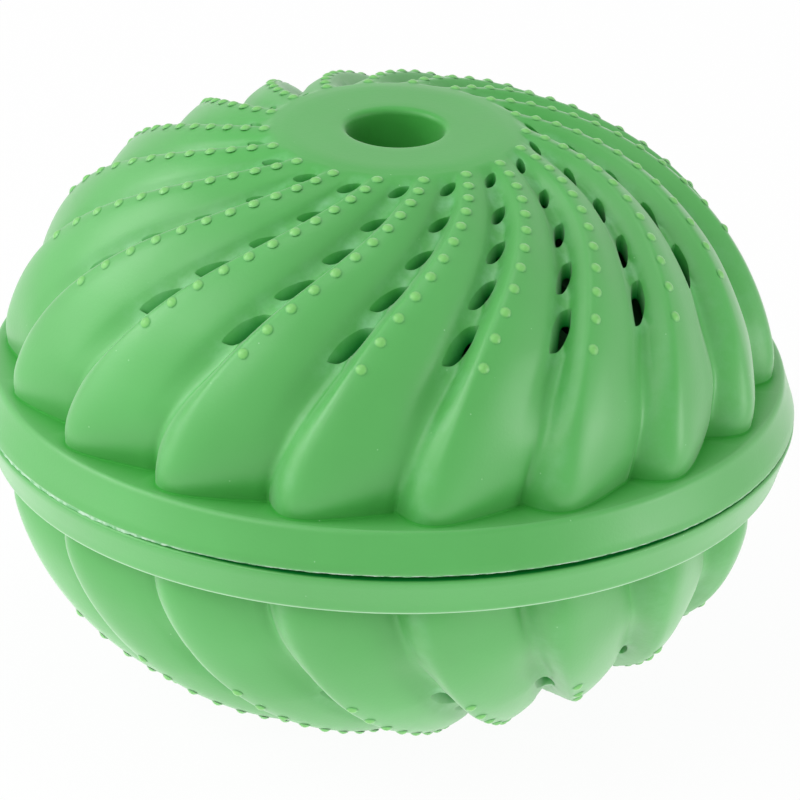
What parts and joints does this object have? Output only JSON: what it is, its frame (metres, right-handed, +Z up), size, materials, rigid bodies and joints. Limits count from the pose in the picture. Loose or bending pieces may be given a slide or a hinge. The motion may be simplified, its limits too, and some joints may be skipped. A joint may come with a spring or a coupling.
{
  "type": "laundry ball",
  "caption": "Flattened laundry ball: soft swirl-ribbed halves with slotted valleys and polar holes meet at a rim around a cage of loose ceramic pellets.",
  "frame": {"origin": "centre of the ball, on its axis and in the plane of the seam between the halves", "axes": "+Z up along the axis through both polar holes, -Y towards the picture's viewer, +X to the viewer's right"},
  "size_m": [0.1, 0.1, 0.0716],
  "materials": {
    "shell_rubber": "satin moulded thermoplastic rubber, mid green",
    "cage_plastic": "hard moulded plastic, dark green",
    "grey_ceramic": "opaque unglazed fired ceramic, grey",
    "brown_ceramic": "opaque unglazed fired ceramic, brown",
    "white_ceramic": "opaque unglazed fired ceramic, white",
    "blue_ceramic": "opaque unglazed fired ceramic, blue"
  },
  "bodies": {
    "lower_shell": {"lower_shell": "shell_rubber"},
    "upper_shell": {"upper_shell": "shell_rubber"},
    "lower_cage": {"lower_cage": "cage_plastic"},
    "upper_cage": {"upper_cage": "cage_plastic"},
    "pellets": {"grey_pellet_1": "grey_ceramic", "grey_pellet_2": "grey_ceramic", "grey_pellet_3": "grey_ceramic", "grey_pellet_4": "grey_ceramic", "grey_pellet_5": "grey_ceramic", "grey_pellet_6": "grey_ceramic", "grey_pellet_7": "grey_ceramic", "grey_pellet_8": "grey_ceramic", "grey_pellet_9": "grey_ceramic", "grey_pellet_10": "grey_ceramic", "grey_pellet_11": "grey_ceramic", "grey_pellet_12": "grey_ceramic", "brown_pellet_1": "brown_ceramic", "brown_pellet_2": "brown_ceramic", "brown_pellet_3": "brown_ceramic", "brown_pellet_4": "brown_ceramic", "brown_pellet_5": "brown_ceramic", "brown_pellet_6": "brown_ceramic", "brown_pellet_7": "brown_ceramic", "brown_pellet_8": "brown_ceramic", "brown_pellet_9": "brown_ceramic", "brown_pellet_10": "brown_ceramic", "brown_pellet_11": "brown_ceramic", "brown_pellet_12": "brown_ceramic", "white_pellet_1": "white_ceramic", "white_pellet_2": "white_ceramic", "white_pellet_3": "white_ceramic", "white_pellet_4": "white_ceramic", "white_pellet_5": "white_ceramic", "white_pellet_6": "white_ceramic", "white_pellet_7": "white_ceramic", "white_pellet_8": "white_ceramic", "white_pellet_9": "white_ceramic", "white_pellet_10": "white_ceramic", "white_pellet_11": "white_ceramic", "white_pellet_12": "white_ceramic", "blue_pellet_1": "blue_ceramic", "blue_pellet_2": "blue_ceramic", "blue_pellet_3": "blue_ceramic", "blue_pellet_4": "blue_ceramic", "blue_pellet_5": "blue_ceramic", "blue_pellet_6": "blue_ceramic", "blue_pellet_7": "blue_ceramic", "blue_pellet_8": "blue_ceramic", "blue_pellet_9": "blue_ceramic", "blue_pellet_10": "blue_ceramic", "blue_pellet_11": "blue_ceramic", "blue_pellet_12": "blue_ceramic"}
  },
  "joints": [
    {"name": "shell_open", "type": "slide", "parent": "lower_shell", "child": "upper_shell", "axis": [0, 0, 1], "range_m": [0, 0.12]},
    {"name": "cage_lift", "type": "slide", "parent": "lower_shell", "child": "lower_cage", "axis": [0, 0, 1], "range_m": [0, 0.04]},
    {"name": "cage_open", "type": "slide", "parent": "lower_cage", "child": "upper_cage", "axis": [0, 0, 1], "range_m": [0, 0.04]},
    {"name": "pellet_shift", "type": "slide", "parent": "lower_cage", "child": "pellets", "axis": [0, 0, 1], "range_m": [0, 0.031]}
  ],
  "couplings": [
    {"joint": "cage_lift", "follows": "shell_open", "ratio": 0.3333},
    {"joint": "cage_open", "follows": "shell_open", "ratio": 0.3333}
  ]
}
